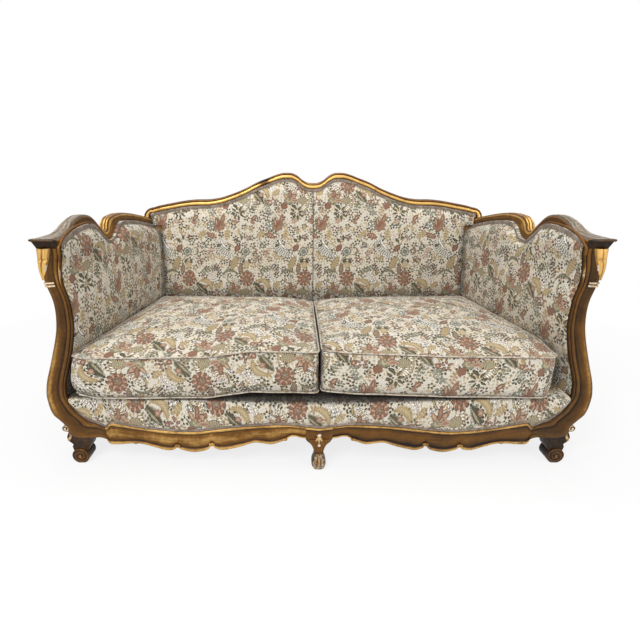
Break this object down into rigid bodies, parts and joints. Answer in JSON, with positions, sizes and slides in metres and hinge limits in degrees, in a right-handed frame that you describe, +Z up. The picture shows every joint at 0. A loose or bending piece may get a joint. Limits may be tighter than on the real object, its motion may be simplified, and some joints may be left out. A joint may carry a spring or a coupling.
{
  "type": "cabriole sofa",
  "caption": "Cabriole sofa with a gilt show-wood frame, arched crest, humped arm rails, scroll feet, upholstered back and arms, and loose piped cushions.",
  "frame": {"origin": "middle of the bounding box in plan, on the floor", "axes": "+X along the sofa, to the right as seen from the front; +Y from the front to the back; +Z up"},
  "size_m": [1.8614, 0.9052, 0.9743],
  "materials": {
    "gilt_wood": "worn water gilding over carved wood, satin",
    "dark_wood": "bronzed, satin",
    "beech": "raw sawn",
    "tapestry": "woven floral tapestry",
    "piping": "tapestry cut on the bias over cord",
    "braid": "woven gimp braid",
    "jute": "plain jute weave",
    "filling": "calico over feather and fibre",
    "dust_cloth": "plain black cambric",
    "steel": "plain"
  },
  "bodies": {
    "frame": {"crest_rail": "gilt_wood", "back_stile_left": "gilt_wood", "back_stile_right": "gilt_wood", "back_center_upright": "beech", "back_lower_rail": "beech", "back_seat_rail": "dark_wood", "rear_center_leg": "dark_wood", "arm_rail_left": "gilt_wood", "arm_rail_right": "gilt_wood", "front_post_left": "gilt_wood", "front_post_right": "gilt_wood", "arm_dowels": "beech", "front_rail_left": "gilt_wood", "front_rail_right": "gilt_wood", "front_center_leg": "gilt_wood", "side_rail_left": "gilt_wood", "side_rail_right": "gilt_wood", "seat_cross_rail_left": "beech", "seat_cross_rail_right": "beech", "corner_blocks": "beech", "corner_block_screws": "steel", "arm_tacking_rail_left": "beech", "arm_tacking_rail_right": "beech", "seat_webbing": "jute", "seat_hessian": "jute", "seat_deck": "tapestry", "seat_front_border": "tapestry", "back_webbing": "jute", "back_hessian": "jute", "inside_back_left": "tapestry", "inside_back_right": "tapestry", "inside_arm_left": "tapestry", "inside_arm_right": "tapestry", "outside_back": "tapestry", "outside_arm_left": "tapestry", "outside_arm_right": "tapestry", "dust_cover": "dust_cloth", "crest_gimp": "braid", "arm_gimp_left": "braid", "arm_gimp_right": "braid", "border_gimp": "braid"},
    "cushion_left": {"cushion_cover_left": "tapestry", "cushion_filling_left": "filling", "cushion_piping_left": "piping"},
    "cushion_right": {"cushion_cover_right": "tapestry", "cushion_filling_right": "filling", "cushion_piping_right": "piping"}
  },
  "joints": [
    {"name": "cushion_lift_left", "type": "slide", "parent": "frame", "child": "cushion_left", "axis": [0, -0.9397, 0.342], "range_m": [0, 0.8]},
    {"name": "cushion_lift_right", "type": "slide", "parent": "frame", "child": "cushion_right", "axis": [0, -0.9397, 0.342], "range_m": [0, 0.8]}
  ]
}
